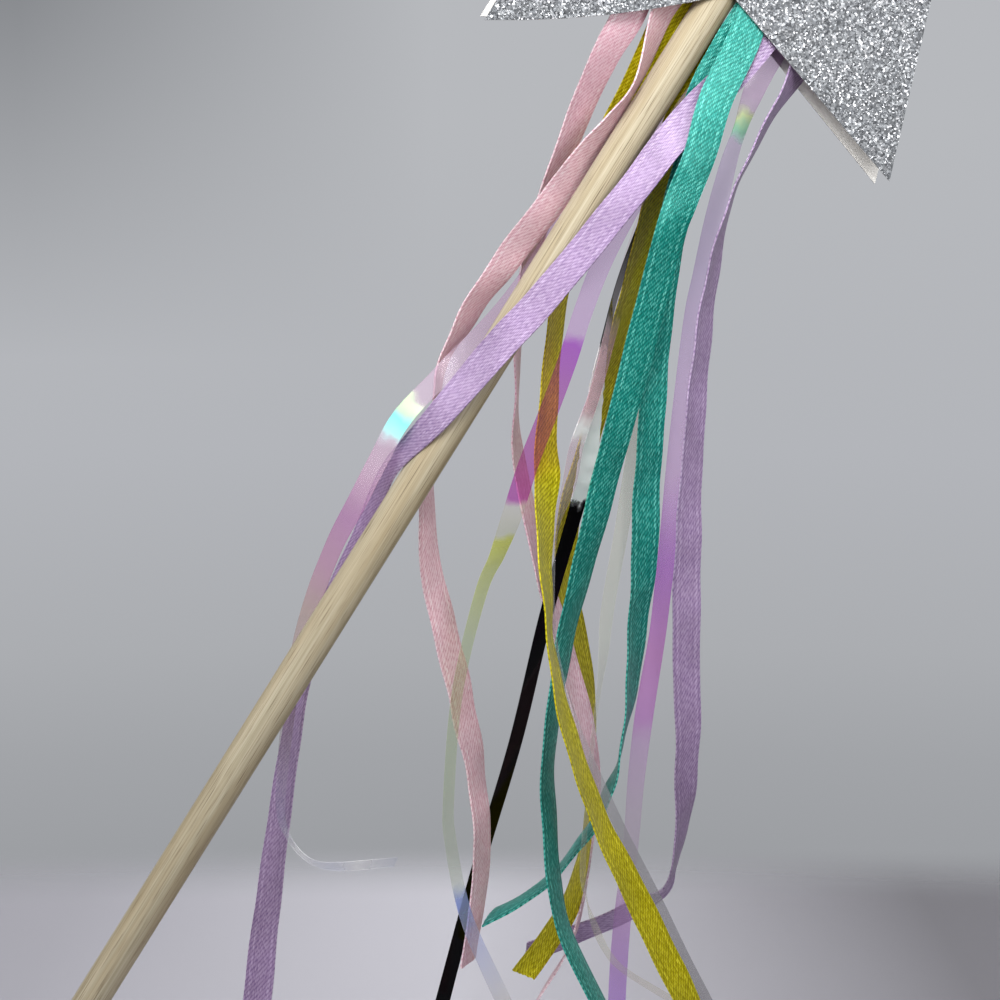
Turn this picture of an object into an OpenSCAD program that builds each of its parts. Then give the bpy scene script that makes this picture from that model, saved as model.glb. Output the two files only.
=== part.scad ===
// Toy magic wand. A wooden dowel carries two glittered card stars, glued face to face over its end.
// Satin ribbons, iridescent film strips and one mirror-foil strip are glued in the gap between them.
// The wand leans as it is held up by hand, and the ribbons hang straight down past the dowel.

/* [Dowel] */
// Diameter of the dowel
dowel_d = 6.35; // [4:0.05:8]
// Length of the dowel
dowel_len = 305; // [280:1:340]
// Lean of the dowel from upright, to the right
dowel_lean = 32; // [25:0.5:38]
// Eased edge at both ends of the dowel
dowel_ease = 0.4; // [0.2:0.1:1]

/* [Star] */
// Number of points of the star
star_points = 5; // [5:1:7]
// Radius of the star at its tips
star_tip_r = 65.5; // [56:0.5:75]
// Radius of the star at its notches
star_notch_r = 33; // [28:0.5:38]
// Lean of the star's own axis from upright, to the right
star_lean = 21.4; // [15:0.1:35]
// Distance of the star's centre from the dowel's upper end, back along the dowel
star_inset = 0.5; // [0:0.5:8]
// Distance of the star's centre from the dowel's axis, to the left
star_aside = 4.6; // [0:0.1:6]
// Turn of the back star against the front one
back_turn = 1.3; // [0:0.1:3]
// Outward bow of the one edge that was cut by eye
cut_bow = 1.4; // [0.2:0.1:2]
// Thickness of the card
card_t = 0.4; // [0.25:0.05:0.8]
// Thickness of the glitter coat
glitter_t = 0.15; // [0.1:0.05:0.3]
// Clearance between the dowel and each card
card_clear = 0.05; // [0.02:0.01:0.1]

/* [Glue] */
// Height of a glue pad
pad_h = 7; // [5:0.5:10]
// Distance of the pads' underside below the star's centre
pad_drop = 21; // [18:0.1:21.1]
// Reach of the left pad's rounded end from the dowel's axis
pad_reach_left = 24; // [16:1:28]
// Reach of the right pad's rounded end from the dowel's axis
pad_reach_right = 20; // [16:1:24]
// Clearance between a glue pad and the dowel
pad_clear = 0.05; // [0.02:0.01:0.1]

/* [Ribbons] */
// Width of a satin ribbon
satin_w = 6; // [4:0.5:6]
// Thickness of a satin ribbon
satin_t = 0.3; // [0.15:0.05:0.35]
// Width of a film or foil strip
film_w = 4; // [2.5:0.5:4]
// Thickness of a film or foil strip
film_t = 0.12; // [0.06:0.02:0.16]
// Sections between two points of a route
span_rings = 3; // [2:1:4]

/* [Hidden] */

// Half of the gap between the two cards
gap_half = dowel_d / 2 + card_clear;
// The star's centre, from its place along and beside the dowel
star_along = dowel_len - star_inset;
star_x = star_along * sin(dowel_lean) - star_aside * cos(dowel_lean);
star_z = star_along * cos(dowel_lean) + star_aside * sin(dowel_lean);
// Angle between a tip and the next notch, and the straight stretches that make the bowed edge
corner_step = 180 / star_points;
last_edge = 2 * star_points - 1;
bow_steps = 6;
// The glue pads' middle height, and the dowel's axis there
pad_mid_z = star_z - pad_drop + pad_h / 2;
pad_mid_x = pad_mid_z * tan(dowel_lean);
// Facets of the round surfaces
round_facets = 96;

// Ribbon routes, glued end first. A point is right, back, up and the turn about the ribbon's length.
// Turn 0 shows the ribbon's face to the front and 90 shows its edge. Below 0 the right edge comes forward.
pink_a_route = [
    [132, -1.2, 237.5, 0], [128, -1, 227, 15], [123.5, 0.8, 219, 35], [117.5, 5, 205, 50],
    [113, 8.5, 192, 55], [109.5, 10.8, 178, 65], [108, 10.4, 160, 85], [108.5, 10.2, 147, 70],
    [112, 10.2, 129, 65], [116.5, 10.4, 113, 60], [121, 11, 96, 55], [123, 12, 84, 70],
    [122.5, 12.2, 71, 85], [119.5, 11.6, 56, 80], [112.5, 11, 42, 80], [108, 11, 34, 75]
];
pink_b_route = [
    [140, -0.7, 237.5, 38], [136.5, -0.6, 231.5, 42], [133.5, -0.6, 226.5, 50], [130.8, -1.3, 218.5, 70],
    [128.4, -1.3, 213, 78], [125, -0.4, 208, 65], [121, 0.4, 203, 50], [114.5, 1, 194, 35],
    [109.5, 1.6, 187.5, 35], [103, 2, 179, 45], [98, 4.4, 171, 60], [94.5, 6.4, 164, 75],
    [93, 7.2, 156.5, 80], [91.5, 7, 142, 70], [92, 6.6, 128, 55], [94.5, 6.2, 116, 45],
    [98, 6.2, 101, 45], [101, 6.2, 84, 60], [101.5, 6.2, 70, 60], [99, 6.2, 51, 65]
];
yellow_a_route = [
    [141.1, 1.9, 237.5, 0], [137.9, 2.3, 231.5, 0], [135.2, 2.8, 226.5, 0], [131.8, 3.8, 219, 15],
    [128.4, 5.4, 212, 25], [124.5, 7.4, 205, 40], [121, 9.6, 196, 45], [118, 10, 186, 55],
    [116, 8, 176, 60], [114.5, 5.2, 166, 60], [113.5, 1, 151, 50], [113.5, -2, 144.5, 40],
    [113, -6, 138, 55], [113, -9.6, 131.5, 65], [113.5, -12.2, 123.5, 75], [114, -13.2, 115.5, 80],
    [116, -13.6, 105, 70], [119.5, -13.2, 93, 65], [124, -12.4, 81, 60], [130.5, -11.6, 67.5, 45],
    [139, -11, 49.5, 45], [142, -11, 42.5, 40]
];
yellow_b_route = [
    [156.3, 0.2, 237.5, 0], [150.3, 0.6, 228, 0], [143.8, 2.2, 219, 0], [137.8, 3, 209, 0],
    [134.6, 3.8, 199.5, 30], [132.2, 4.8, 190.5, 45], [129.5, 6.6, 179.5, 50], [125.5, 10.2, 164, 50],
    [121.5, 12, 149, 50], [118.5, 13.2, 138, 45], [117.5, 15, 129.5, 45], [118, 16.2, 120, 50],
    [121, 17.6, 105, 55], [122.5, 18.4, 93, 65], [122, 19, 78, 70], [121.5, 18.8, 69, 70],
    [118, 17.6, 57.5, 65], [109.5, 17, 45, 65]
];
teal_a_route = [
    [155, -2.7, 237.5, 0], [150.5, -2.7, 229, 0], [147.5, -2.9, 221, 0], [143, -4.2, 211.5, 0],
    [140, -6.2, 201.5, 15], [137, -6.4, 194, 15], [134.5, -5.8, 186.5, 25], [129.5, -3.8, 166, 25],
    [124, -2.4, 144, 35], [119, -0.8, 123.5, 50], [116, -0.4, 109, 60], [114, -0.4, 93.5, 65],
    [114, -0.6, 82, 65], [115, -1.2, 69, 65], [118, -1.4, 57, 70], [127, -1.4, 38.5, 70]
];
teal_b_route = [
    [155.7, -1.5, 237.5, 0], [150.5, -1.5, 229, 0], [145.2, -1.4, 220.5, 0], [140.8, -1.2, 211.5, 0],
    [139, -0.8, 201, 10], [136.5, 0.2, 191.5, 20], [134.5, 1.2, 180, 30], [132.5, 2.2, 154.5, 35],
    [131.5, 3, 130.5, 35], [130, 3.8, 110, 60], [127.5, 4.6, 91.5, 85], [125, 4.8, 84, 100],
    [121.5, 5, 76.5, 105], [113, 5, 66.5, 110], [103, 5, 60, 115]
];
lilac_a_route = [
    [163, -2.1, 237.5, 0], [157, -2.1, 230, 0], [151, -2.1, 222, 0], [145, -2.4, 215, 0],
    [139.5, -3.1, 209.5, 0], [133.5, -4.6, 202.5, -20], [127, -5.2, 194, -25], [113, -5, 177, -25],
    [106, -4.8, 169.5, -20], [99.5, -4.1, 162, -30], [93.5, -2.6, 155, -40], [86.1, 1.7, 147, -60],
    [82, 5.9, 139.5, -58], [78.4, 7.8, 130.5, -62], [72.8, 9.5, 120, -68], [68, 10.4, 105, -60],
    [65.5, 10.4, 93, -50], [62, 10.4, 70, -40], [59, 10, 46.5, -25], [57.5, 10, 33.5, -20]
];
lilac_b_route = [
    [170.5, -0.8, 237.5, 0], [165.5, -0.8, 229, 0], [161, -0.6, 222, 15], [157, -0.2, 215, 60],
    [153, 0.8, 208, 75], [149.5, 1.6, 201, 80], [146.5, 2.2, 194, 80], [143.5, 3, 181, 65],
    [141.5, 3.6, 165, 55], [140, 4, 143, 45], [139.5, 4.2, 124.5, 30], [139.5, 4.6, 111.5, 30],
    [140, 5.6, 98, 35], [140, 8, 85, 45], [139.5, 13, 73, 65], [138, 18, 64.5, 75],
    [135, 22, 59, 70], [125, 24, 53, 60], [110, 24, 47, 55]
];
film_left_route = [
    [158, 2.2, 237.5, 0], [151, 2.4, 224, 0], [145, 5.4, 217, 0], [139.5, 7.8, 211, 0],
    [133, 8, 205.5, 25], [124.5, 6.8, 197, 25], [116, 5.6, 188.5, 20], [109.5, 5.2, 179, 20],
    [102, 4.4, 170, 20], [94, 1.6, 162, -25], [87, 1, 154.5, -25], [83, -0.4, 147.5, -25],
    [79, 0, 139.5, -25], [74.5, 2.2, 131, -35], [70.5, 4.6, 121, -35], [67, 5.4, 108, -45],
    [64.5, 4.8, 90, -55], [64, 4.8, 80.5, -60], [66, 4.8, 75, -65], [70, 4.8, 71, -60],
    [76, 4.8, 70, -50], [85.5, 4.8, 71, -50]
];
film_violet_route = [
    [156, -0.9, 237.5, 0], [150, -0.8, 227.5, 0], [143.5, 0, 217.5, 0], [136.5, 0.2, 207.5, 10],
    [130, -0.2, 196, 25], [124, -1.6, 184.5, 25], [120, -3.2, 174.5, 30], [117, -4.4, 165.5, 30],
    [113.5, -5.2, 156, 30], [110, -6.6, 147, 25], [107, -5.8, 137.5, 25], [104.5, -1.6, 130, 45],
    [101.5, 0.6, 122.5, 55], [97, 1, 103.5, 60], [95.5, 1, 84, 60], [96, 1, 75.5, 60],
    [99, 1, 60.5, 60], [105.5, 1.4, 45.5, 50], [109, 1.6, 38.5, 50]
];
film_rose_route = [
    [157, -0.4, 237.5, 0], [150.5, -0.2, 227, 0], [144, 0.6, 217.5, 0], [138, 1.8, 204.5, 20],
    [131.5, 2.6, 191.5, 40], [127.5, 1.4, 180, 50], [124.5, 0, 169, 55], [122, -0.8, 159, 55],
    [119, -0.8, 150, 50], [117.5, 1, 142.5, 50], [115, 1, 134.5, 70], [114.5, -2.4, 126, 75],
    [114.5, -5.8, 117, 75], [116, -7.2, 108, 70], [120, -7.4, 96, 65], [126, -7, 82.5, 65],
    [133, -6.4, 68.5, 70], [143, -5.8, 48, 65], [146, -5.6, 41, 65]
];
film_right_route = [
    [165, 2.7, 237.5, 0], [156.5, 2.7, 224, 0], [151.5, 3.4, 215.5, 25], [148.5, 4.6, 207.5, 48],
    [146, 6, 199.5, 35], [142.5, 8.4, 181.5, 0], [140.5, 9, 170.5, 0], [137.5, 9.6, 142.5, 15],
    [135, 10, 117, 35], [132, 10.2, 97, 25], [130, 10.6, 75.5, 40], [128, 11, 53, 30],
    [127, 11, 33, 35]
];
film_pale_route = [
    [157, 1.4, 237.5, 0], [152, 1.7, 226, 0], [147, 3.6, 218, 0], [142, 7.8, 206.5, 5],
    [138.5, 9.2, 193, 30], [135, 8, 178, 35], [132.5, 6, 166, 40], [128.5, 5, 141, 45],
    [125, 2.8, 120, 50], [124, 1.6, 112, 60], [123, 0.4, 104, 75], [121.5, -1, 88, 75],
    [120.5, -1.4, 78, 75], [120.5, -1.2, 69, 75], [122.5, -0.6, 61, 110], [125, 0.6, 55, 115],
    [129.5, 2, 50, 120], [143, 4.6, 41, 125]
];
foil_route = [
    [157, 0.8, 237.5, 0], [151, 1.1, 227, 0], [144.5, 3, 217.5, 0], [138, 5.4, 205.5, 20],
    [131.8, 6.2, 191, 50], [126.9, 5.6, 179.5, 70], [124.1, 3.5, 169, 68], [122.5, 4.2, 159, 45],
    [121, 4.8, 146, 30], [119, 5.2, 137.5, 45], [113.5, 4.2, 118, 50], [108, 8.4, 93.5, 50],
    [101, 12, 68.5, 50], [94, 12.4, 41.5, 45], [91.5, 12.6, 31.5, 45]
];

// Corner i of the star, notches and tips in turn, counted from the notch that the dowel leaves by
function star_corner(i) =
    let (angle = i * corner_step - 90)
    (i % 2 == 0 ? star_notch_r : star_tip_r) * [cos(angle), sin(angle)];

// Points of edge i without its last one
function star_edge(i) =
    let (
        from = star_corner(i),
        along = star_corner(i + 1) - from,
        outward = [along[1], -along[0]] / norm(along),
        steps = i == last_edge ? bow_steps : 1
    )
    [for (k = [0 : steps - 1]) let (s = k / steps) from + s * along + 4 * cut_bow * s * (1 - s) * outward];

// A point on the smooth curve from b to c, where a and d are the points on either side
function curve(a, b, c, d, s) =
    b + s * (c - a) / 2 + s * s * (2 * a - 5 * b + 4 * c - d) / 2 + s * s * s * (3 * b - 3 * c + d - a) / 2;

// A route with the sections between its points filled in
function smooth(route) =
    let (last = len(route) - 1)
    [
        for (i = [0 : last - 1], j = [0 : span_rings - 1])
            curve(route[max(i - 1, 0)], route[i], route[i + 1], route[min(i + 2, last)], j / span_rings),
        route[last]
    ];

// The place part of a route point
function place(point) = [point[0], point[1], point[2]];

function unit(v) = v / norm(v);

// The four corners of a ribbon's section at point i of its path
function section(path, i, w, t) =
    let (
        onward = unit(place(path[min(i + 1, len(path) - 1)]) - place(path[max(i - 1, 0)])),
        back = unit([0, 1, 0] - onward[1] * onward),
        right = cross(onward, back),
        across = cos(path[i][3]) * right + sin(path[i][3]) * back,
        through = cross(across, onward)
    )
    [
        for (k = [[-1, -1], [1, -1], [1, 1], [-1, 1]])
            place(path[i]) + k[0] * w / 2 * across + k[1] * t / 2 * through
    ];

// A flat ribbon swept along its route. Both faces are split along the same diagonal, so that a twisted
// stretch keeps its thickness.
module ribbon(route, w, t) {
    path = smooth(route);
    last = len(path) - 1;
    corners = [for (i = [0 : last]) each section(path, i, w, t)];
    walls = [
        for (i = [0 : last - 1], k = [0 : 3])
            let (a = 4 * i + k, b = 4 * i + (k + 1) % 4)
            each k == 2 ? [[a, b, a + 4], [b, b + 4, a + 4]] : [[a, b, b + 4], [a, b + 4, a + 4]]
    ];
    top = [[0, 2, 1], [0, 3, 2]];
    tail = [[4 * last, 4 * last + 1, 4 * last + 2], [4 * last, 4 * last + 2, 4 * last + 3]];
    polyhedron(corners, concat(walls, top, tail));
}

// A sheet in the shape of the star, from one depth to a greater one
module star_sheet(turn, depth_from, depth_to) {
    translate([star_x, depth_to, star_z])
        rotate([90, 0, 0])
            linear_extrude(depth_to - depth_from)
                rotate(-star_lean - turn)
                    polygon([for (i = [0 : last_edge]) each star_edge(i)]);
}

// A pad of glue from the dowel to its rounded end, with the dowel's space cut out
module glue_pad(reach) {
    color("ivory")
        difference() {
            translate([pad_mid_x, gap_half, pad_mid_z])
                rotate([90, 0, 0])
                    linear_extrude(2 * gap_half) {
                        translate([min(reach, 0), -pad_h / 2])
                            square([abs(reach), pad_h]);
                        translate([reach, 0])
                            circle(d = pad_h, $fn = round_facets);
                    }
            rotate([0, dowel_lean, 0])
                cylinder(d = dowel_d + 2 * pad_clear, h = dowel_len + pad_clear, $fn = round_facets);
        }
}

module dowel() {
    color("#d8c8a4")
        rotate([0, dowel_lean, 0])
            rotate_extrude($fn = round_facets)
                polygon([
                    [0, 0],
                    [dowel_d / 2 - dowel_ease, 0],
                    [dowel_d / 2, dowel_ease],
                    [dowel_d / 2, dowel_len - dowel_ease],
                    [dowel_d / 2 - dowel_ease, dowel_len],
                    [0, dowel_len]
                ]);
}

module front_card() {
    color("white") star_sheet(0, -gap_half - card_t, -gap_half);
}

module front_glitter() {
    color("silver") star_sheet(0, -gap_half - card_t - glitter_t, -gap_half - card_t);
}

module back_card() {
    color("white") star_sheet(back_turn, gap_half, gap_half + card_t);
}

module back_glitter() {
    color("silver") star_sheet(back_turn, gap_half + card_t, gap_half + card_t + glitter_t);
}

module glue_left() {
    glue_pad(-pad_reach_left);
}

module glue_right() {
    glue_pad(pad_reach_right);
}

module pink_ribbon_a() {
    color("#e8bcc8") ribbon(pink_a_route, satin_w, satin_t);
}

module pink_ribbon_b() {
    color("#e8bcc8") ribbon(pink_b_route, satin_w, satin_t);
}

module yellow_ribbon_a() {
    color("#b8a820") ribbon(yellow_a_route, satin_w, satin_t);
}

module yellow_ribbon_b() {
    color("#b8a820") ribbon(yellow_b_route, satin_w, satin_t);
}

module teal_ribbon_a() {
    color("#3a9c88") ribbon(teal_a_route, satin_w, satin_t);
}

module teal_ribbon_b() {
    color("#3a9c88") ribbon(teal_b_route, satin_w, satin_t);
}

module lilac_ribbon_a() {
    color("#a888c0") ribbon(lilac_a_route, satin_w, satin_t);
}

module lilac_ribbon_b() {
    color("#a888c0") ribbon(lilac_b_route, satin_w, satin_t);
}

module film_left() {
    color("#c8a0c8", 0.5) ribbon(film_left_route, film_w, film_t);
}

module film_violet() {
    color("#a878c8", 0.5) ribbon(film_violet_route, film_w, film_t);
}

module film_rose() {
    color("#d8a8b8", 0.5) ribbon(film_rose_route, film_w, film_t);
}

module film_right() {
    color("#b8a0c8", 0.5) ribbon(film_right_route, film_w, film_t);
}

module film_pale() {
    color("#c8c4b8", 0.4) ribbon(film_pale_route, film_w, film_t);
}

module foil_strip() {
    color("dimgray") ribbon(foil_route, film_w, film_t);
}

dowel();
front_card();
front_glitter();
back_card();
back_glitter();
glue_left();
glue_right();
pink_ribbon_a();
pink_ribbon_b();
yellow_ribbon_a();
yellow_ribbon_b();
teal_ribbon_a();
teal_ribbon_b();
lilac_ribbon_a();
lilac_ribbon_b();
film_left();
film_violet();
film_rose();
film_right();
film_pale();
foil_strip();
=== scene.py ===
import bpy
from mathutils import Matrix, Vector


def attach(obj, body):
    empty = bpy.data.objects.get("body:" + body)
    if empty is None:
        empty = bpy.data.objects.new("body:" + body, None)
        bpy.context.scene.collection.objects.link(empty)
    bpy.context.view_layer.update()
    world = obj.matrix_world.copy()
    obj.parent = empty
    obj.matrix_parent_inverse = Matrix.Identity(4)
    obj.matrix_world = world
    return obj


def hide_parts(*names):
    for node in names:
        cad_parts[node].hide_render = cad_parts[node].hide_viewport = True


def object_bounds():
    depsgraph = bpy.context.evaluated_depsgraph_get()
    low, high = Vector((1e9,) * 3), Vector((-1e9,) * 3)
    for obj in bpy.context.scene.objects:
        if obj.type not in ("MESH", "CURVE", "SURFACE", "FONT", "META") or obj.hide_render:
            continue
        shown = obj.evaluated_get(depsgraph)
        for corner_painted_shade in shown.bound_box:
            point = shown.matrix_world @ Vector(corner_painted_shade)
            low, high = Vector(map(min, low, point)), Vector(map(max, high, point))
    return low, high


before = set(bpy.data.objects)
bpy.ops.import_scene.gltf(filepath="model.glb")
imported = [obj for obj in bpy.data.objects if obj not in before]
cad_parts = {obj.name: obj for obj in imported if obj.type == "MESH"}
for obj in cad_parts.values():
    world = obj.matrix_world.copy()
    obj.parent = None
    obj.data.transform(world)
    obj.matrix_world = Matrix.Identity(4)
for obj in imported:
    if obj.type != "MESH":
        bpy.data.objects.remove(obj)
cad_box = [list(corner_painted_shade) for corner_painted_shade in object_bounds()]

import math
import random

import bpy
import numpy as np

# Dowel: a straight birch rod, planed round, cut square to length and left bare.
# The stars are glued over its upper end. It leans to the right, as the wand is held.
DOWEL_LEAN = math.radians(32)
GRAIN_WIDTH = 0.00020
GRAIN_LENGTH = 0.045
GRAIN_DEPTH = 0.00005
GRAIN_COLOURS = [(0.25, "#8e8369"), (0.42, "#aaa087"), (0.56, "#b6ac95"), (0.8, "#c2b8a2")]
PORE_WIDTH = 0.00012
PORE_LENGTH = 0.009
PORE_COLOURS = [(0.28, "#9f917a"), (0.4, "#ffffff")]
TONE_WIDTH = 0.0022
TONE_LENGTH = 0.060
TONE_COLOURS = [(0.3, "#e6dccb"), (0.65, "#ffffff")]


def linear(hex_colour):
    """An sRGB hex colour as linear red, green, blue and 1."""
    parts = [int(hex_colour[i : i + 2], 16) / 255 for i in (1, 3, 5)]
    return [c / 12.92 if c <= 0.04045 else ((c + 0.055) / 1.055) ** 2.4 for c in parts] + [1]


def add_node(owner, kind, inputs=None, stops=None, **settings):
    """Adds a node with its settings, its input values and links, and its ramp.

    A stop of the ramp is a share from 0 to 1 and a colour, in sRGB hex or as linear values.
    """
    tree = owner.node_tree
    node = tree.nodes.new("ShaderNode" + kind)
    for name, value in settings.items():
        setattr(node, name, value)
    for name, value in (inputs or {}).items():
        if isinstance(value, bpy.types.NodeSocket):
            tree.links.new(value, node.inputs[name])
        else:
            node.inputs[name].default_value = value
    if stops:
        stops = [(at, linear(shade) if isinstance(shade, str) else shade) for at, shade in stops]
        ramp = node.color_ramp.elements
        ramp[1].position, ramp[1].color = stops[-1]
        ramp[0].position, ramp[0].color = stops[0]
        for at, shade in stops[1:-1]:
            ramp.new(at).color = shade
    return node


def start_material(name):
    """An empty material with nodes."""
    material = bpy.data.materials.new(name)
    material.use_nodes = True
    material.node_tree.nodes.clear()
    return material


def dress(piece, material):
    """Gives a piece one material all over."""
    piece.data.materials.clear()
    piece.data.materials.append(material)


# Birch, planed and bare: dull and pale, with long straight fibres, short dark pores and broad soft tones,
# all along the rod. Real fibres are finer, and are drawn as coarse as they need to show.
birch = start_material("birch_planed_bare")
place = add_node(birch, "TexCoord").outputs["Object"]
wood_colour = linear("#ffffff")
noises = []
for width, length, detail, colours in (
    (GRAIN_WIDTH, GRAIN_LENGTH, 3, GRAIN_COLOURS),
    (PORE_WIDTH, PORE_LENGTH, 1, PORE_COLOURS),
    (TONE_WIDTH, TONE_LENGTH, 2, TONE_COLOURS),
):
    along_rod = add_node(
        birch,
        "Mapping",
        {"Vector": place, "Rotation": (0, DOWEL_LEAN, 0), "Scale": (width, width, length)},
        vector_type="TEXTURE",
    )
    noise = add_node(birch, "TexNoise", {"Vector": along_rod.outputs[0], "Scale": 1, "Detail": detail})
    noises.append(noise.outputs["Fac"])
    shade = add_node(birch, "ValToRGB", {"Fac": noise.outputs["Fac"]}, stops=colours)
    shaded = add_node(
        birch,
        "Mix",
        {0: 1.0, 6: wood_colour, 7: shade.outputs["Color"]},
        data_type="RGBA",
        blend_type="MULTIPLY",
    )
    wood_colour = shaded.outputs[2]
fibre_relief = add_node(birch, "Bump", {"Height": noises[0], "Distance": GRAIN_DEPTH, "Strength": 0.7})
birch_surface = add_node(
    birch,
    "BsdfPrincipled",
    {"Base Color": wood_colour, "Roughness": 0.62, "IOR": 1.5, "Normal": fibre_relief.outputs["Normal"]},
)
add_node(birch, "OutputMaterial", {"Surface": birch_surface.outputs[0]})
dress(bpy.data.objects["dowel"], birch)

# Stars: two five-pointed stars, cut from glitter card with scissors and glued over the dowel's end with their
# white faces inward. The coat is foil flakes set in clear binder on one side of the card.
CARD_FIBRE = 0.0006
CARD_RELIEF = 0.00003
FLAKE = 0.00036
FINE_FLAKE = 0.00024
FLAKE_TILT = 0.5
# Coarse flakes whose draw is above this show finer ones instead.
FINE_ABOVE = 0.55

# White card, pressed pulp: matt, with a faint cloud of fibres.
card = start_material("white_card_pressed")
place = add_node(card, "TexCoord").outputs["Object"]
fibres = add_node(card, "TexNoise", {"Vector": place, "Scale": 1 / CARD_FIBRE, "Detail": 4})
card_colour = add_node(
    card,
    "ValToRGB",
    {"Fac": fibres.outputs["Fac"]},
    stops=[(0.3, "#e6e3de"), (0.7, "#f5f3ef")],
)
card_relief = add_node(
    card, "Bump", {"Height": fibres.outputs["Fac"], "Distance": CARD_RELIEF, "Strength": 0.5}
)
card_surface = add_node(
    card,
    "BsdfPrincipled",
    {
        "Base Color": card_colour.outputs["Color"],
        "Roughness": 0.85,
        "Normal": card_relief.outputs["Normal"],
    },
)
add_node(card, "OutputMaterial", {"Surface": card_surface.outputs[0]})
for name in ("back_card", "front_card"):
    dress(bpy.data.objects[name], card)

# Aluminium foil flakes, each lying at its own tilt, with painted sparkle: each flake's colour is a random
# painted brightness, from dark grey to near white, standing in for the flashes and dark looks that the tilts
# give.
# Real flakes are about 0.2 mm across, and are drawn a little coarser here.
glitter = start_material("aluminium_flake_glitter")
place = add_node(glitter, "TexCoord").outputs["Object"]
flakes = add_node(glitter, "TexVoronoi", {"Vector": place, "Scale": 1 / FLAKE})
fine_flakes = add_node(glitter, "TexVoronoi", {"Vector": place, "Scale": 1 / FINE_FLAKE})
flake_draw = add_node(glitter, "SeparateColor", {"Color": flakes.outputs["Color"]})
shows_fine = add_node(glitter, "Math", {0: flake_draw.outputs[0], 1: FINE_ABOVE}, operation="GREATER_THAN")
shown = add_node(
    glitter,
    "Mix",
    {0: shows_fine.outputs[0], 6: flakes.outputs["Color"], 7: fine_flakes.outputs["Color"]},
    data_type="RGBA",
)
shown_draw = add_node(glitter, "SeparateColor", {"Color": shown.outputs[2]})
# Painted sparkle: the flake's colour is painted light, drawn at random.
flake_painted_sparkle = add_node(
    glitter,
    "ValToRGB",
    {"Fac": shown_draw.outputs[1]},
    stops=[(0.0, "#44464a"), (0.4, "#5e6063"), (0.84, "#787a7c"), (0.97, "#cacacd")],
)
lean = add_node(glitter, "VectorMath", {0: shown.outputs[2], 1: (0.5, 0.5, 0.5)}, operation="SUBTRACT")
tilted = add_node(glitter, "VectorMath", {0: lean.outputs[0], "Scale": FLAKE_TILT}, operation="SCALE")
flat_way = add_node(glitter, "NewGeometry").outputs["Normal"]
flake_way = add_node(glitter, "VectorMath", {0: flat_way, 1: tilted.outputs[0]}, operation="ADD")
flake_normal = add_node(glitter, "VectorMath", {0: flake_way.outputs[0]}, operation="NORMALIZE")
glitter_surface = add_node(
    glitter,
    "BsdfPrincipled",
    {
        "Base Color": flake_painted_sparkle.outputs["Color"],
        "Metallic": 0.75,
        "Roughness": 0.45,
        "Normal": flake_normal.outputs[0],
    },
)
add_node(glitter, "OutputMaterial", {"Surface": glitter_surface.outputs[0]})
for name in ("back_glitter", "front_glitter"):
    dress(bpy.data.objects[name], glitter)

# Glue: two beads of hot-melt glue, pressed flat between the cards on either side of the dowel.
# They hold the stars to the dowel and the ribbons' upper ends in the gap.
GLUE_CLOUD = 0.004
GLUE_RELIEF = 0.0006
GLUE_DEPTH = 0.002

# Hot-melt glue, set from the nozzle: milky, a little see-through, with a soft gloss.
hot_melt = start_material("hot_melt_glue_set")
place = add_node(hot_melt, "TexCoord").outputs["Object"]
cloud = add_node(hot_melt, "TexNoise", {"Vector": place, "Scale": 1 / GLUE_CLOUD, "Detail": 2})
glue_colour = add_node(
    hot_melt,
    "ValToRGB",
    {"Fac": cloud.outputs["Fac"]},
    stops=[(0.3, "#e4dcc4"), (0.7, "#f4efe0")],
)
glue_relief = add_node(
    hot_melt, "Bump", {"Height": cloud.outputs["Fac"], "Distance": GLUE_RELIEF, "Strength": 0.6}
)
glue_surface = add_node(
    hot_melt,
    "BsdfPrincipled",
    {
        "Base Color": glue_colour.outputs["Color"],
        "Roughness": 0.32,
        "IOR": 1.49,
        "Subsurface Weight": 0.4,
        "Subsurface Scale": GLUE_DEPTH,
        "Normal": glue_relief.outputs["Normal"],
    },
)
add_node(hot_melt, "OutputMaterial", {"Surface": glue_surface.outputs[0]})
for name in ("glue_left", "glue_right"):
    dress(bpy.data.objects[name], hot_melt)

# Satin ribbons: eight lengths of narrow polyester satin in four colours, cut across with scissors.
# Each is held by its top end between the stars, hangs by its own weight, and curls a little across.
SATIN_WIDTH = 0.006
SATIN_THICK = 0.0003
SATIN_COLUMNS = 13
RINGS_A_SPAN = 10
SHARP_EDGE = math.radians(50)
# The length at the bottom over which the scissors' slant and the frays grow.
CUT_RUN = 0.005
# The strip's folds in the map for baking, and the bare margins beside a fold, at its ends and at the caps.
BAKE_FOLDS = 4
FOLD_MARGIN = 0.02
END_MARGIN = 0.01
CAP_MARGIN = 0.004
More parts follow.
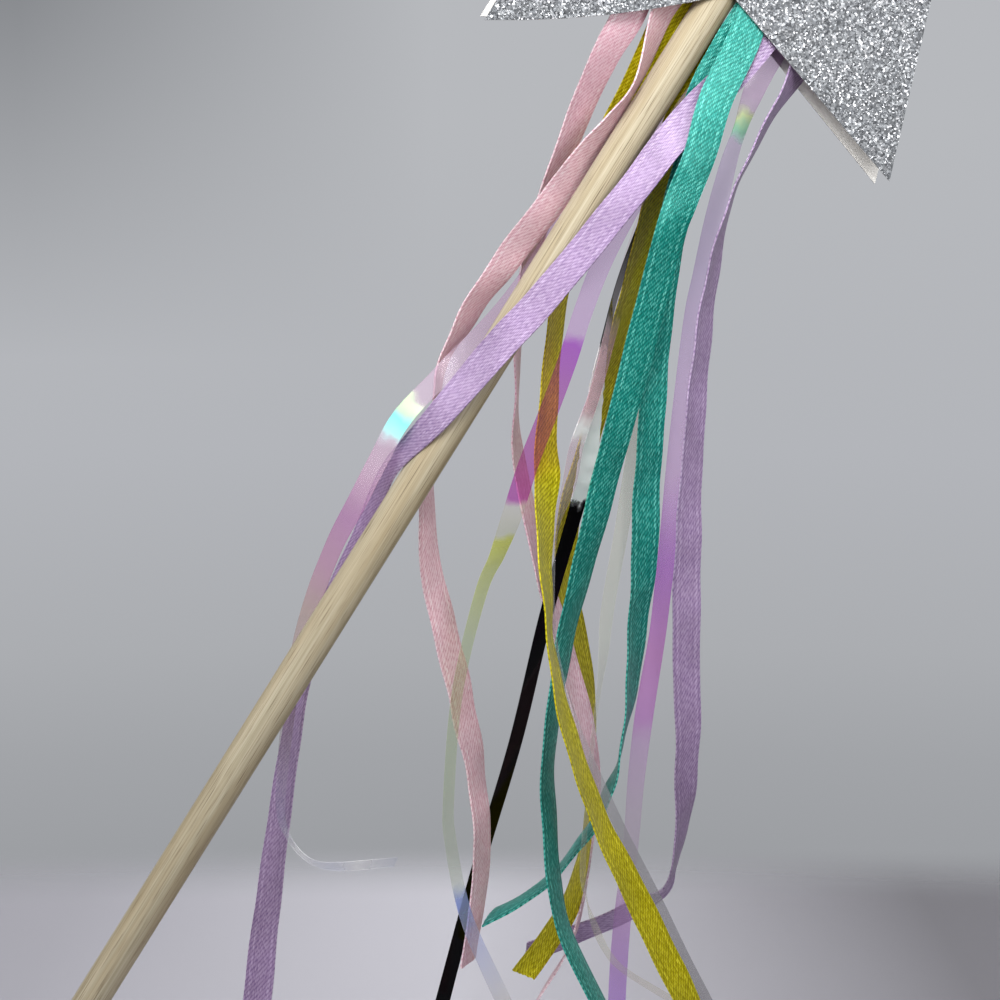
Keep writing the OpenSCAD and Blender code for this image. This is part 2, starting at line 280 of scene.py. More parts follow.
# A route's points are right, back and up in metres, and the turn about the ribbon's length in degrees.
SATIN_ROUTES = {
    "pink_ribbon_a": [
        (0.1320, -0.0012, 0.2375, 0), (0.1280, -0.0010, 0.2270, 15), (0.1235, 0.0008, 0.2190, 35),
        (0.1175, 0.0050, 0.2050, 50), (0.1130, 0.0085, 0.1920, 55), (0.1095, 0.0108, 0.1780, 65),
        (0.1080, 0.0104, 0.1600, 85), (0.1085, 0.0102, 0.1470, 70), (0.1120, 0.0102, 0.1290, 65),
        (0.1165, 0.0104, 0.1130, 60), (0.1210, 0.0110, 0.0960, 55), (0.1230, 0.0120, 0.0840, 70),
        (0.1225, 0.0122, 0.0710, 85), (0.1195, 0.0116, 0.0560, 80), (0.1125, 0.0110, 0.0420, 80),
        (0.1080, 0.0110, 0.0340, 75),
    ],
    "pink_ribbon_b": [
        (0.1400, -0.0007, 0.2375, 38), (0.1365, -0.0006, 0.2315, 42), (0.1335, -0.0006, 0.2265, 50),
        (0.1308, -0.0013, 0.2185, 70), (0.1284, -0.0013, 0.2130, 78), (0.1250, -0.0004, 0.2080, 65),
        (0.1210, 0.0004, 0.2030, 50), (0.1145, 0.0010, 0.1940, 35), (0.1095, 0.0016, 0.1875, 35),
        (0.1030, 0.0020, 0.1790, 45), (0.0980, 0.0044, 0.1710, 60), (0.0945, 0.0064, 0.1640, 75),
        (0.0930, 0.0072, 0.1565, 80), (0.0915, 0.0070, 0.1420, 70), (0.0920, 0.0066, 0.1280, 55),
        (0.0945, 0.0062, 0.1160, 45), (0.0980, 0.0062, 0.1010, 45), (0.1010, 0.0062, 0.0840, 60),
        (0.1015, 0.0062, 0.0700, 60), (0.0990, 0.0062, 0.0510, 65),
    ],
    "yellow_ribbon_a": [
        (0.1411, 0.0019, 0.2375, 0), (0.1379, 0.0023, 0.2315, 0), (0.1352, 0.0028, 0.2265, 0),
        (0.1318, 0.0038, 0.2190, 15), (0.1284, 0.0054, 0.2120, 25), (0.1245, 0.0074, 0.2050, 40),
        (0.1210, 0.0096, 0.1960, 45), (0.1180, 0.0100, 0.1860, 55), (0.1160, 0.0080, 0.1760, 60),
        (0.1145, 0.0052, 0.1660, 60), (0.1135, 0.0010, 0.1510, 50), (0.1135, -0.0020, 0.1445, 40),
        (0.1130, -0.0060, 0.1380, 55), (0.1130, -0.0096, 0.1315, 65), (0.1135, -0.0122, 0.1235, 75),
        (0.1140, -0.0132, 0.1155, 80), (0.1160, -0.0136, 0.1050, 70), (0.1195, -0.0132, 0.0930, 65),
        (0.1240, -0.0124, 0.0810, 60), (0.1305, -0.0116, 0.0675, 45), (0.1390, -0.0110, 0.0495, 45),
        (0.1420, -0.0110, 0.0425, 40),
    ],
    "yellow_ribbon_b": [
        (0.1563, 0.0002, 0.2375, 0), (0.1503, 0.0006, 0.2280, 0), (0.1438, 0.0022, 0.2190, 0),
        (0.1378, 0.0030, 0.2090, 0), (0.1346, 0.0038, 0.1995, 30), (0.1322, 0.0048, 0.1905, 45),
        (0.1295, 0.0066, 0.1795, 50), (0.1255, 0.0102, 0.1640, 50), (0.1215, 0.0120, 0.1490, 50),
        (0.1185, 0.0132, 0.1380, 45), (0.1175, 0.0150, 0.1295, 45), (0.1180, 0.0162, 0.1200, 50),
        (0.1210, 0.0176, 0.1050, 55), (0.1225, 0.0184, 0.0930, 72), (0.1220, 0.0190, 0.0780, 92),
        (0.1215, 0.0188, 0.0690, 108), (0.1180, 0.0176, 0.0575, 120), (0.1095, 0.0170, 0.0450, 125),
    ],
    "teal_ribbon_a": [
        (0.1550, -0.0027, 0.2375, 0), (0.1505, -0.0027, 0.2290, 0), (0.1475, -0.0029, 0.2210, 0),
        (0.1430, -0.0042, 0.2115, 0), (0.1400, -0.0062, 0.2015, 15), (0.1370, -0.0064, 0.1940, 15),
        (0.1345, -0.0058, 0.1865, 25), (0.1295, -0.0038, 0.1660, 25), (0.1240, -0.0024, 0.1440, 35),
        (0.1190, -0.0008, 0.1235, 50), (0.1160, -0.0004, 0.1090, 60), (0.1140, -0.0004, 0.0935, 65),
        (0.1140, -0.0006, 0.0820, 65), (0.1150, -0.0012, 0.0690, 65), (0.1180, -0.0014, 0.0570, 70),
        (0.1270, -0.0014, 0.0385, 70),
    ],
    "teal_ribbon_b": [
        (0.1557, -0.0015, 0.2375, 0), (0.1505, -0.0015, 0.2290, 0), (0.1452, -0.0014, 0.2205, 0),
        (0.1408, -0.0012, 0.2115, 0), (0.1390, -0.0008, 0.2010, 10), (0.1365, 0.0002, 0.1915, 20),
        (0.1345, 0.0012, 0.1800, 30), (0.1325, 0.0022, 0.1545, 35), (0.1315, 0.0030, 0.1305, 35),
        (0.1300, 0.0038, 0.1100, 60), (0.1275, 0.0046, 0.0915, 85), (0.1250, 0.0048, 0.0840, 100),
        (0.1215, 0.0050, 0.0765, 95), (0.1130, 0.0050, 0.0665, 91), (0.1030, 0.0050, 0.0600, 91),
    ],
    "lilac_ribbon_a": [
        (0.1630, -0.0021, 0.2375, 0), (0.1570, -0.0021, 0.2300, 0), (0.1510, -0.0021, 0.2220, 0),
        (0.1450, -0.0024, 0.2150, 0), (0.1395, -0.0031, 0.2095, 0), (0.1335, -0.0046, 0.2025, -20),
        (0.1270, -0.0052, 0.1940, -25), (0.1130, -0.0050, 0.1770, -25), (0.1060, -0.0048, 0.1695, -20),
        (0.0995, -0.0041, 0.1620, -30), (0.0935, -0.0026, 0.1550, -40), (0.0861, 0.0017, 0.1470, -60),
        (0.0820, 0.0059, 0.1395, -58), (0.0784, 0.0078, 0.1305, -62), (0.0728, 0.0095, 0.1200, -68),
        (0.0680, 0.0104, 0.1050, -60), (0.0655, 0.0104, 0.0930, -50), (0.0620, 0.0104, 0.0700, -40),
        (0.0590, 0.0100, 0.0465, -25), (0.0575, 0.0100, 0.0335, -20),
    ],
    "lilac_ribbon_b": [
        (0.1705, -0.0008, 0.2375, 0), (0.1655, -0.0008, 0.2290, 0), (0.1610, -0.0006, 0.2220, 15),
        (0.1570, -0.0002, 0.2150, 60), (0.1530, 0.0008, 0.2080, 75), (0.1495, 0.0016, 0.2010, 80),
        (0.1465, 0.0022, 0.1940, 80), (0.1435, 0.0030, 0.1810, 65), (0.1415, 0.0036, 0.1650, 55),
        (0.1400, 0.0040, 0.1430, 45), (0.1395, 0.0042, 0.1245, 30), (0.1395, 0.0046, 0.1115, 30),
        (0.1400, 0.0056, 0.0980, 35), (0.1400, 0.0080, 0.0850, 45), (0.1395, 0.0130, 0.0730, 65),
        (0.1380, 0.0180, 0.0645, 75), (0.1350, 0.0220, 0.0590, 46), (0.1250, 0.0240, 0.0530, 40),
        (0.1100, 0.0240, 0.0470, 35),
    ],
}
# The length at the top that the glue and the stars hold flat. Ripples grow over as much again below it.
GLUED_RUN = 0.016
# Each dye in three colours with painted light: shaded in the slits of the ground, plain over most of the
# face, and as a painted highlight on the crowns of the floats. The crown colour also tints the gloss.
SATIN_DYES_WITH_PAINTED_LIGHT = {
    "pink": ("#d8a2b2", "#f8d6e0", "#fff4f7"),
    "yellow": ("#877b04", "#c8bc0e", "#fcf448"),
    "teal": ("#035a50", "#0a9286", "#8cecde"),
    "lilac": ("#886c9c", "#b89ec4", "#dccae4"),
}
# How far each cut end slants across its ribbon.
CUT_SLANT = {
    "pink_ribbon_a": 0.1, "pink_ribbon_b": -0.15, "yellow_ribbon_a": 0.1, "yellow_ribbon_b": 0.35,
    "teal_ribbon_a": 0.1, "teal_ribbon_b": -0.5, "lilac_ribbon_a": 0.1, "lilac_ribbon_b": 0.45,
}


def along_route(route):
    """Fine points along a route, the ways onward, across and through there, and the run from the top."""
    knots = np.array([route[0], *route, route[-1]], float)
    fine = []
    for a, b, c, d in zip(knots, knots[1:], knots[2:], knots[3:]):
        for s in np.arange(RINGS_A_SPAN) / RINGS_A_SPAN:
            bend = s * (c - a) / 2 + s**2 * (2 * a - 5 * b + 4 * c - d) / 2
            fine.append(b + bend + s**3 * (3 * b - 3 * c + d - a) / 2)
    fine = np.array(fine + [knots[-1]])
    points = fine[:, :3]
    turn = np.radians(fine[:, 3:])
    onward = np.gradient(points, axis=0)
    onward /= np.linalg.norm(onward, axis=1, keepdims=True)
    back = np.array([0, 1, 0]) - onward[:, 1:2] * onward
    back /= np.linalg.norm(back, axis=1, keepdims=True)
    across = np.cos(turn) * np.cross(onward, back) + np.sin(turn) * back
    through = np.cross(across, onward)
    steps = np.linalg.norm(np.diff(points, axis=0), axis=1)
    return points, onward, across, through, np.concatenate([[0], np.cumsum(steps)])


def sweep_strip(name, route, width, thick, columns, ripple, cut):
    """A flat strip along a route.

    ripple gives the lift off the strip at each place, and cut the shift along it of each column's end.
    """
    points, onward, across, through, run = along_route(route)
    offs = np.linspace(-width / 2, width / 2, columns)
    free = np.clip((run - GLUED_RUN) / GLUED_RUN, 0, 1)
    lift = free[:, None] * ripple(run[:, None], offs[None, :])
    end = np.clip((run - run[-1] + CUT_RUN) / CUT_RUN, 0, 1) ** 2
    slide = end[:, None] * cut(offs)[None, :]
    middle = points[:, None] + offs[None, :, None] * across[:, None]
    middle = middle + lift[:, :, None] * through[:, None] + slide[:, :, None] * onward[:, None]
    half = thick / 2 * through[:, None]
    rings = np.concatenate([middle - half, (middle + half)[:, ::-1]], axis=1)
    last, around = len(run) - 1, 2 * columns
    faces = []
    for i in range(last):
        for k in range(around):
            n = (k + 1) % around
            faces.append((i * around + k, (i + 1) * around + k, (i + 1) * around + n, i * around + n))
    for j in range(columns - 1):
        rim = (j, j + 1, around - 2 - j, around - 1 - j)
        faces.append(rim)
        faces.append(tuple(last * around + k for k in reversed(rim)))
    mesh = bpy.data.meshes.new(name)
    mesh.from_pydata(rings.reshape(-1, 3).tolist(), [], faces)
    # One map, in metres across and along, carries the weave. The other lays the strip out for baking.
    over = np.concatenate([offs, offs[::-1]]) + width / 2
    girth = np.concatenate([offs + width / 2, offs + width * 1.5 + thick]) / (2 * width + 2 * thick)
    weave_map = []
    bake_map = []
    fold_rings = math.ceil(last / BAKE_FOLDS)
    for i in range(last):
        fold = i // fold_rings
        low = (i % fold_rings) / fold_rings
        high = low + 1 / fold_rings
        for k in range(around):
            n = (k + 1) % around
            g0, g1 = girth[k], girth[n] if n else 1
            a, b = over[k], over[n]
            weave_map += [(a, run[i]), (a, run[i + 1]), (b, run[i + 1]), (b, run[i])]
            for g, v in ((g0, low), (g0, high), (g1, high), (g1, low)):
                beside = fold + FOLD_MARGIN + (1 - 2 * FOLD_MARGIN) * g
                bake_map.append((beside / BAKE_FOLDS, END_MARGIN + (1 - 2 * END_MARGIN) * v))
    for j in range(columns - 1):
        sides = (over[j], over[j + 1], over[j + 1], over[j])
        shares = (j / columns, (j + 1) / columns, (j + 1) / columns, j / columns)
        for at, v in ((run[0], CAP_MARGIN), (run[-1], 1 - CAP_MARGIN)):
            weave_map += [(side, at) for side in sides]
            bake_map += [(share, v) for share in shares]
    for map_name, spots in (("Lengthways", weave_map), ("OFBake", bake_map)):
        layer = mesh.uv_layers.new(name=map_name)
        layer.uv.foreach_set("vector", np.array(spots, np.float32).ravel())
    mesh.polygons.foreach_set("use_smooth", [True] * len(mesh.polygons))
    mesh.set_sharp_from_angle(angle=SHARP_EDGE)
    piece = bpy.data.objects.new(name + "_strip", mesh)
    bpy.context.collection.objects.link(piece)
    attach(piece, "root")
    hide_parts(name)
    return piece


# Polyester satin, woven with long floats: staggered dashes along the ribbon, and a row of tighter floats near
# each edge. Each float's crown carries a painted highlight, and the slits between them a painted shade. Real
# floats are about 0.1 mm wide, and are drawn coarser.
FLOAT_WIDTH = 0.00030
FLOAT_LENGTH = 0.00100
FLOAT_STRAY = 0.3
# Each thread's floats start two fifths of a float later than its neighbour's, as in five-shaft satin.
FLOAT_STEP = 0.4
# A float's painted highlight is brightest this near its middle and gone this far from it, in threads.
CROWN_TOP = 0.15
CROWN_FOOT = 0.6
DULLEST_FLOAT = 0.45
EDGE_ROW = 0.0010
WEAVE_DEPTH = 0.00006
DRAPE_PATCH = 0.011
DRAPE_DEPTH = 0.0010
LIGHT_THROUGH = 0.25


def satin_weave(name, slit_shade_colour, body_colour, crown_highlight_colour):
    """Satin in one dye."""
    satin = start_material(name)
    spot = add_node(satin, "UVMap", uv_map="Lengthways").outputs["UV"]
    parts = add_node(satin, "SeparateXYZ", {0: spot})
    thread = add_node(satin, "Math", {0: parts.outputs[0], 1: FLOAT_WIDTH}, operation="DIVIDE")
    row = add_node(satin, "Math", {0: parts.outputs[1], 1: FLOAT_LENGTH}, operation="DIVIDE")
    stagger = add_node(
        satin,
        "Math",
        {0: thread.outputs[0], 1: FLOAT_STEP, 2: row.outputs[0]},
        operation="MULTIPLY_ADD",
    )
    thread_spot = add_node(satin, "CombineXYZ", {0: thread.outputs[0], 1: stagger.outputs[0]})
    floats = add_node(
        satin,
        "TexVoronoi",
        {"Vector": thread_spot.outputs[0], "Scale": 1, "Randomness": FLOAT_STRAY},
        voronoi_dimensions="2D",
    )
    draw = add_node(satin, "SeparateColor", {"Color": floats.outputs["Color"]})
    crown_highlight = add_node(
        satin,
        "MapRange",
        {
            "Value": floats.outputs["Distance"],
            "From Min": CROWN_TOP,
            "From Max": CROWN_FOOT,
            "To Min": 1,
            "To Max": 0,
        },
    )
    across = parts.outputs[0]
    other_side = add_node(satin, "Math", {0: SATIN_WIDTH, 1: across}, operation="SUBTRACT")
    from_edge = add_node(satin, "Math", {0: across, 1: other_side.outputs[0]}, operation="MINIMUM")
    edge_share = add_node(satin, "Math", {0: from_edge.outputs[0], 1: 2 * EDGE_ROW}, operation="DIVIDE")
    edge_row_highlight = add_node(
        satin,
        "ValToRGB",
        {"Fac": edge_share.outputs[0]},
        stops=[
            (0.0, "#d8d8d8"),
            (0.22, "#909090"),
            (0.48, "#ffffff"),
            (0.72, "#a8a8a8"),
            (1.0, "#c8c8c8"),
        ],
    )
    glint = add_node(satin, "MapRange", {"Value": draw.outputs[0], "To Min": DULLEST_FLOAT, "To Max": 1})
    lit_float = add_node(satin, "Math", {0: crown_highlight.outputs[0], 1: glint.outputs[0]}, operation="MULTIPLY")
    shine = add_node(
        satin, "Math", {0: lit_float.outputs[0], 1: edge_row_highlight.outputs["Color"]}, operation="MULTIPLY"
    )
    # Painted light: the slits take the shaded ground colour and the float crowns the lit colour.
    woven_sheen_and_shade = add_node(
        satin,
        "ValToRGB",
        {"Fac": shine.outputs[0]},
        stops=[(0.0, slit_shade_colour), (0.22, body_colour), (0.7, crown_highlight_colour)],
    )
    drape = add_node(satin, "TexNoise", {"Vector": spot, "Scale": 1 / DRAPE_PATCH, "Detail": 2})
    drape_shade = add_node(
        satin,
        "ValToRGB",
        {"Fac": drape.outputs["Fac"]},
        stops=[(0.3, "#e4e4e4"), (0.7, "#ffffff")],
    )
    draped = add_node(
        satin,
        "Mix",
        {0: 1.0, 6: woven_sheen_and_shade.outputs["Color"], 7: drape_shade.outputs["Color"]},
        data_type="RGBA",
        blend_type="MULTIPLY",
    )
    weave_relief = add_node(
        satin, "Bump", {"Height": lit_float.outputs[0], "Distance": WEAVE_DEPTH, "Strength": 0.6}
    )
    drape_relief = add_node(
        satin,
        "Bump",
        {
            "Height": drape.outputs["Fac"],
            "Distance": DRAPE_DEPTH,
            "Strength": 0.5,
            "Normal": weave_relief.outputs["Normal"],
        },
    )
    face = add_node(
        satin,
        "BsdfPrincipled",
        {
            "Base Color": draped.outputs[2],
            "Roughness": 0.33,
            "IOR": 1.57,
            "Specular IOR Level": 1.0,
            "Specular Tint": linear(crown_highlight_colour),
            "Anisotropic": 0.4,
            "Sheen Weight": 0.08,
            "Sheen Roughness": 0.4,
            "Normal": drape_relief.outputs["Normal"],
        },
    )
    glow = add_node(satin, "BsdfTranslucent", {"Color": draped.outputs[2]})
    thin = add_node(satin, "MixShader", {0: LIGHT_THROUGH, 1: face.outputs[0], 2: glow.outputs[0]})
    add_node(satin, "OutputMaterial", {"Surface": thin.outputs[0]})
    return satin


satins = {}
for dye, colours in SATIN_DYES_WITH_PAINTED_LIGHT.items():
    satins[dye] = satin_weave("polyester_satin_woven_" + dye, *colours)

# Slow ripples down a ribbon: how many, their pitch and lift, and their slant across in radians a metre.
RIPPLES = 4
RIPPLE_PITCH = (0.011, 0.03)
RIPPLE_LIFT = (0.00004, 0.00012)
RIPPLE_SLANT = 180
FULL_TURN = 6.28
EDGE_CURL = (0.00010, 0.00022)
FRAY = 0.00012


def draw_ripples(hand, count, pitch, lift):
    """Ripples drawn at random, each with its pitch, where it starts and its lift."""
    return [(hand.uniform(*pitch), hand.uniform(0, FULL_TURN), hand.uniform(*lift)) for _ in range(count)]


def add_ripples(ripples, slant, run, off):
    """The lift that all the ripples give at a run from the top and an offset across."""
    return sum(lift * np.sin(FULL_TURN * run / pitch + start + slant * off) for pitch, start, lift in ripples)


for number, (name, route) in enumerate(SATIN_ROUTES.items()):
    hand = random.Random(number)
    ripples = draw_ripples(hand, RIPPLES, RIPPLE_PITCH, RIPPLE_LIFT)
    curl = hand.choice((-1, 1)) * hand.uniform(*EDGE_CURL)
    frays = np.array([hand.uniform(-FRAY, FRAY) for _ in range(SATIN_COLUMNS)])

    def satin_ripple(run, off):
        return add_ripples(ripples, RIPPLE_SLANT, run, off) + curl * (1 - (2 * off / SATIN_WIDTH) ** 2)

    def satin_cut(off):
        return CUT_SLANT[name] * off + frays

    ribbon = sweep_strip(name, route, SATIN_WIDTH, SATIN_THICK, SATIN_COLUMNS, satin_ripple, satin_cut)
    dye = name.split("_")[0]
    dress(ribbon, satins[dye])

# Film strips: five narrow strips slit from clear iridescent polyester film, glued in with the ribbons.
# Thin layers in the film turn parts of a strip violet, rose, yellow-green or nearly clear as it bends.
FILM_WIDTH = 0.004
FILM_THICK = 0.00012
FILM_COLUMNS = 7
FILM_RIPPLES = 3
FILM_RIPPLE_PITCH = (0.02, 0.05)
FILM_RIPPLE_LIFT = (0.00004, 0.0001)
FILM_RIPPLE_SLANT = 90
FILM_CUT_SLANT = 0.3
FILM_FIRST_SEED = 40
FILM_ROUTES = {
    "film_left": [
        (0.1580, 0.0022, 0.2375, 0), (0.1510, 0.0024, 0.2240, 0), (0.1450, 0.0054, 0.2170, 0),
        (0.1395, 0.0078, 0.2110, 0), (0.1330, 0.0080, 0.2055, 25), (0.1245, 0.0068, 0.1970, 25),
        (0.1160, 0.0056, 0.1885, 20), (0.1095, 0.0052, 0.1790, 20), (0.1020, 0.0044, 0.1700, 20),
        (0.0940, 0.0016, 0.1620, -25), (0.0870, 0.0010, 0.1545, -25), (0.0830, -0.0004, 0.1475, -25),
        (0.0790, 0.0000, 0.1395, -25), (0.0745, 0.0022, 0.1310, -35), (0.0705, 0.0046, 0.1210, -35),
        (0.0670, 0.0054, 0.1080, -45), (0.0645, 0.0048, 0.0900, -55), (0.0640, 0.0048, 0.0805, -60),
        (0.0660, 0.0048, 0.0750, -65), (0.0700, 0.0048, 0.0710, -60), (0.0760, 0.0048, 0.0700, -50),
        (0.0855, 0.0048, 0.0710, -50),
    ],
    "film_violet": [
        (0.1560, -0.0009, 0.2375, 0), (0.1500, -0.0008, 0.2275, 0), (0.1435, 0.0000, 0.2175, 0),
        (0.1365, 0.0002, 0.2075, 10), (0.1300, -0.0002, 0.1960, 25), (0.1240, -0.0016, 0.1845, 25),
        (0.1200, -0.0032, 0.1745, 30), (0.1170, -0.0044, 0.1655, 30), (0.1135, -0.0052, 0.1560, 30),
        (0.1100, -0.0066, 0.1470, 25), (0.1070, -0.0058, 0.1375, 25), (0.1045, -0.0016, 0.1300, 45),
        (0.1015, 0.0006, 0.1225, 55), (0.0970, 0.0010, 0.1035, 60), (0.0955, 0.0010, 0.0840, 60),
        (0.0960, 0.0010, 0.0755, 60), (0.0990, 0.0010, 0.0605, 60), (0.1055, 0.0014, 0.0455, 50),
        (0.1090, 0.0016, 0.0385, 50),
    ],
    "film_rose": [
        (0.1570, -0.0004, 0.2375, 0), (0.1505, -0.0002, 0.2270, 0), (0.1440, 0.0006, 0.2175, 0),
        (0.1380, 0.0018, 0.2045, 20), (0.1315, 0.0026, 0.1915, 40), (0.1275, 0.0014, 0.1800, 50),
        (0.1245, 0.0000, 0.1690, 55), (0.1220, -0.0008, 0.1590, 55), (0.1190, -0.0008, 0.1500, 50),
        (0.1175, 0.0010, 0.1425, 50), (0.1150, 0.0010, 0.1345, 70), (0.1145, -0.0024, 0.1260, 75),
        (0.1145, -0.0058, 0.1170, 75), (0.1160, -0.0072, 0.1080, 70), (0.1200, -0.0074, 0.0960, 65),
        (0.1260, -0.0070, 0.0825, 65), (0.1330, -0.0064, 0.0685, 70), (0.1430, -0.0058, 0.0480, 65),
        (0.1460, -0.0056, 0.0410, 65),
    ],
    "film_right": [
        (0.1650, 0.0027, 0.2375, 0), (0.1565, 0.0027, 0.2240, 0), (0.1515, 0.0033, 0.2155, 6),
        (0.1485, 0.0046, 0.2075, 48), (0.1460, 0.0060, 0.1995, 35), (0.1425, 0.0084, 0.1815, 0),
        (0.1405, 0.0090, 0.1705, 0), (0.1375, 0.0096, 0.1425, 15), (0.1350, 0.0100, 0.1170, 35),
        (0.1320, 0.0102, 0.0970, 25), (0.1300, 0.0106, 0.0755, 40), (0.1280, 0.0110, 0.0530, 30),
        (0.1270, 0.0110, 0.0330, 35),
    ],
    "film_pale": [
        (0.1570, 0.0014, 0.2375, 0), (0.1520, 0.0017, 0.2260, 0), (0.1470, 0.0036, 0.2180, 0),
        (0.1420, 0.0078, 0.2065, 5), (0.1385, 0.0092, 0.1930, 30), (0.1350, 0.0080, 0.1780, 35),
        (0.1325, 0.0060, 0.1660, 40), (0.1285, 0.0050, 0.1410, 45), (0.1250, 0.0028, 0.1200, 50),
        (0.1240, 0.0016, 0.1120, 60), (0.1230, 0.0004, 0.1040, 75), (0.1215, -0.0010, 0.0880, 75),
        (0.1205, -0.0014, 0.0780, 75), (0.1205, -0.0012, 0.0690, 75), (0.1225, -0.0006, 0.0610, 110),
        (0.1250, 0.0006, 0.0550, 115), (0.1295, 0.0020, 0.0500, 120), (0.1430, 0.0046, 0.0410, 125),
    ],
}
# Bands of tint down each strip: the run from the top in metres, the tint, and how much it hides. A few bands
# are painted glints and one is a painted highlight, marked below.
FILM_TINTS_AND_GLINTS = {
    "film_left": [
        (0.000, "#f0d8f0", 0.10), (0.090, "#ecd4ea", 0.12), (0.1062, "#f0dcec", 0.15),
        # Painted glint, yellow-green to cyan, from 0.1075 to 0.114.
        (0.1075, "#c8f4a8", 0.80), (0.1098, "#98f090", 0.90), (0.1115, "#48e4dc", 0.90),
        (0.1140, "#70e4e0", 0.80), (0.1152, "#e0d8e4", 0.25), (0.1175, "#e4c8dc", 0.14),
        (0.124, "#dcb4d0", 0.15), (0.132, "#d8a4d0", 0.12), (0.143, "#d8acc6", 0.15),
        (0.152, "#d4bcb8", 0.15), (0.175, "#dcd4d8", 0.10), (0.192, "#eceef8", 0.08),
        # Painted glints: two white flecks, at 0.199 and 0.211.
        (0.199, "#ffffff", 0.35), (0.206, "#f4f6ff", 0.20), (0.211, "#ffffff", 0.40),
        (0.218, "#f0f2f8", 0.10),
    ],
    "film_violet": [
        (0.000, "#f0e0f4", 0.10), (0.060, "#ecd4f2", 0.10), (0.0775, "#e8ccf0", 0.10),
        (0.0795, "#d884f0", 0.04), (0.090, "#e09ce0", 0.03), (0.098, "#e098d4", 0.03),
        (0.1085, "#dc84d4", 0.05), (0.1100, "#f0ece8", 0.08), (0.1165, "#f0f0e0", 0.08),
        (0.1180, "#e8ec78", 0.30), (0.1250, "#e6eca8", 0.20), (0.140, "#e4ecd0", 0.10),
        (0.165, "#e4ecd8", 0.10), (0.1860, "#e4e8e0", 0.10), (0.1885, "#8898e0", 0.35),
        (0.1950, "#d0d4f0", 0.15), (0.217, "#f4f0e0", 0.10),
    ],
    "film_rose": [
        (0.000, "#fdf8fa", 0.01), (0.072, "#fcf4f6", 0.01), (0.0765, "#ecc0c8", 0.20),
        # Painted highlight: a white line along the fold at 0.093.
        (0.090, "#ecc4cc", 0.25), (0.0930, "#ffffff", 0.60), (0.0965, "#f0dce4", 0.15),
        (0.120, "#f0eaec", 0.10), (0.150, "#e0e0e2", 0.10), (0.170, "#b8b6ba", 0.18),
        (0.214, "#a8a6aa", 0.20),
    ],
    "film_right": [
        (0.000, "#ecdcf4", 0.12), (0.0290, "#ecd4ec", 0.18), (0.0318, "#e8d8e8", 0.20),
        # Painted glint, yellow-green to pale cyan, from 0.033 to 0.0366.
        (0.0330, "#d8f890", 0.90), (0.0352, "#78f0a8", 0.90), (0.0366, "#c0f0e0", 0.50),
        (0.0376, "#e8dcf0", 0.12), (0.062, "#e2d2ee", 0.15), (0.100, "#e6c8ec", 0.18),
        (0.117, "#d898ec", 0.22), (0.134, "#dc9cdc", 0.22), (0.146, "#d8a0de", 0.18),
        (0.151, "#e0c4e6", 0.15), (0.165, "#e6d8e8", 0.10), (0.176, "#e4d8e6", 0.10),
        (0.184, "#d8b4e2", 0.20), (0.211, "#cca4f4", 0.22),
    ],
    "film_pale": [
        (0.000, "#f4f2ee", 0.10), (0.100, "#f0eee4", 0.14), (0.130, "#f2f2ea", 0.12),
        (0.160, "#f4f4f0", 0.12), (0.190, "#f6f2e8", 0.15), (0.214, "#f6f2ea", 0.15),
    ],
}


# Iridescent polyester film, slit: a clear glossy strip that tints what is behind it, in soft bands, a few of
# them painted glints.
# Light passes two faces of a strip, so each face takes the root of the tint.
BAND_WANDER = 0.004


def iridescent_film(name, tints_and_glints):
    """Film with its own bands of tint and painted glints."""
    film = start_material(name)
    length = tints_and_glints[-1][0]
    spot = add_node(film, "UVMap", uv_map="Lengthways").outputs["UV"]
    parts = add_node(film, "SeparateXYZ", {0: spot})
    streaks = add_node(film, "TexNoise", {"Vector": spot, "Scale": 1 / BAND_WANDER, "Detail": 2})
    stray = add_node(film, "Math", {0: streaks.outputs["Fac"], 1: 0.5}, operation="SUBTRACT")
    band_spot = add_node(
        film,
        "Math",
        {0: stray.outputs[0], 1: BAND_WANDER, 2: parts.outputs[1]},
        operation="MULTIPLY_ADD",
    )
    share = add_node(film, "Math", {0: band_spot.outputs[0], 1: length}, operation="DIVIDE")
    tint_and_glint = add_node(
        film,
        "ValToRGB",
        {"Fac": share.outputs[0]},
        stops=[(at / length, [c**0.5 for c in linear(colour)]) for at, colour, _ in tints_and_glints],
    )
    hiding = add_node(
        film,
        "ValToRGB",
        {"Fac": share.outputs[0]},
        stops=[(at / length, [hides, hides, hides, 1]) for at, _, hides in tints_and_glints],
    )
    clear = add_node(film, "BsdfTransparent", {"Color": tint_and_glint.outputs["Color"]})
    face = add_node(
        film,
        "BsdfPrincipled",
        {"Base Color": tint_and_glint.outputs["Color"], "Roughness": 0.15, "IOR": 1.65, "Specular IOR Level": 0.5},
    )
    surface = add_node(
        film, "MixShader", {0: hiding.outputs["Color"], 1: clear.outputs[0], 2: face.outputs[0]}
    )
    add_node(film, "OutputMaterial", {"Surface": surface.outputs[0]})
    return film


for number, (name, route) in enumerate(FILM_ROUTES.items()):
    hand = random.Random(FILM_FIRST_SEED + number)
    ripples = draw_ripples(hand, FILM_RIPPLES, FILM_RIPPLE_PITCH, FILM_RIPPLE_LIFT)

    def film_ripple(run, off):
        return add_ripples(ripples, FILM_RIPPLE_SLANT, run, off)

    def film_cut(off):
        return FILM_CUT_SLANT * off

    strip = sweep_strip(name, route, FILM_WIDTH, FILM_THICK, FILM_COLUMNS, film_ripple, film_cut)
    dress(strip, iridescent_film("iridescent_polyester_" + name, FILM_TINTS_AND_GLINTS[name]))
